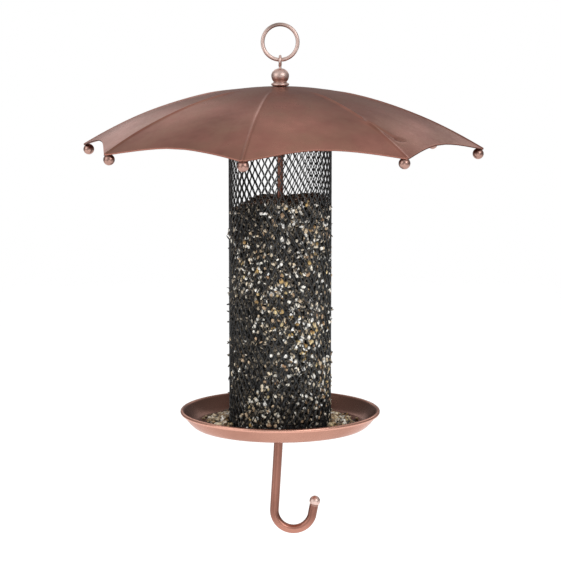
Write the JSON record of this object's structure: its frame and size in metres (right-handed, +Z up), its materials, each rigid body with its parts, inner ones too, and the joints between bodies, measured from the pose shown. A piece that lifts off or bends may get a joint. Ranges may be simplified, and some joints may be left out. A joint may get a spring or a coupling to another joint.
{
  "type": "hanging bird feeder",
  "caption": "Hanging bird feeder: mesh seed tube under a scalloped umbrella roof, with a round seed tray and a J-shaped umbrella handle below.",
  "frame": {"origin": "inside top of the hanging ring, where the hook that carries the feeder bears", "axes": "+Z up along the centre rod, ring and J handle in the XZ plane, handle curling towards +X, -Y the front"},
  "size_m": [0.3482, 0.3482, 0.4526],
  "materials": {
    "antique_copper": "brushed antique copper, satin lacquer",
    "bright_copper": "brushed copper plate, satin lacquer",
    "dark_copper": "dark oil-rubbed copper",
    "black_mesh": "semi-gloss black powder coat on expanded steel",
    "zinc_steel": "zinc-plated hardware",
    "seed_mix": "black seed with pale chips",
    "husk_mix": "pale cracked grain and husks"
  },
  "bodies": {
    "hanger": {"hanging_ring": "antique_copper"},
    "finial": {"top_eye": "dark_copper", "finial_ball": "bright_copper"},
    "collar": {"finial_collar": "bright_copper"},
    "umbrella": {"roof": "antique_copper", "tip_ball_1": "bright_copper", "tip_ball_2": "bright_copper", "tip_ball_3": "bright_copper", "tip_ball_4": "bright_copper", "tip_ball_5": "bright_copper", "tip_ball_6": "bright_copper", "tip_ball_7": "bright_copper", "tip_ball_8": "bright_copper"},
    "core": {"centre_rod": "dark_copper", "roof_washer": "zinc_steel", "roof_sleeve": "dark_copper", "stop_nut": "dark_copper", "base_nut": "zinc_steel", "mesh_tube": "black_mesh", "tube_top_band": "black_mesh", "tube_crossbar": "black_mesh", "tube_base_cap": "black_mesh", "tray": "bright_copper", "handle_hook": "bright_copper", "handle_ball": "bright_copper", "seed_fill": "seed_mix", "tray_seed_left": "husk_mix", "tray_seed_right": "husk_mix"}
  },
  "joints": [
    {"name": "hanger_swing", "type": "hinge", "parent": "hanger", "child": "finial", "pos_m": [0, 0, -0.02865], "axis": [1, 0, 0], "range_deg": [-35, 35]},
    {"name": "finial_turn", "type": "hinge", "parent": "finial", "child": "collar", "pos_m": [0, 0, -0.045], "axis": [0, 0, 1], "continuous": true},
    {"name": "finial_release", "type": "slide", "parent": "collar", "child": "core", "axis": [0, 0, -1], "range_m": [0, 0.024]},
    {"name": "roof_lift", "type": "slide", "parent": "collar", "child": "umbrella", "axis": [0, 0, -1], "range_m": [0, 0.012]}
  ],
  "couplings": [
    {"joint": "roof_lift", "follows": "finial_release", "ratio": 0.5}
  ]
}
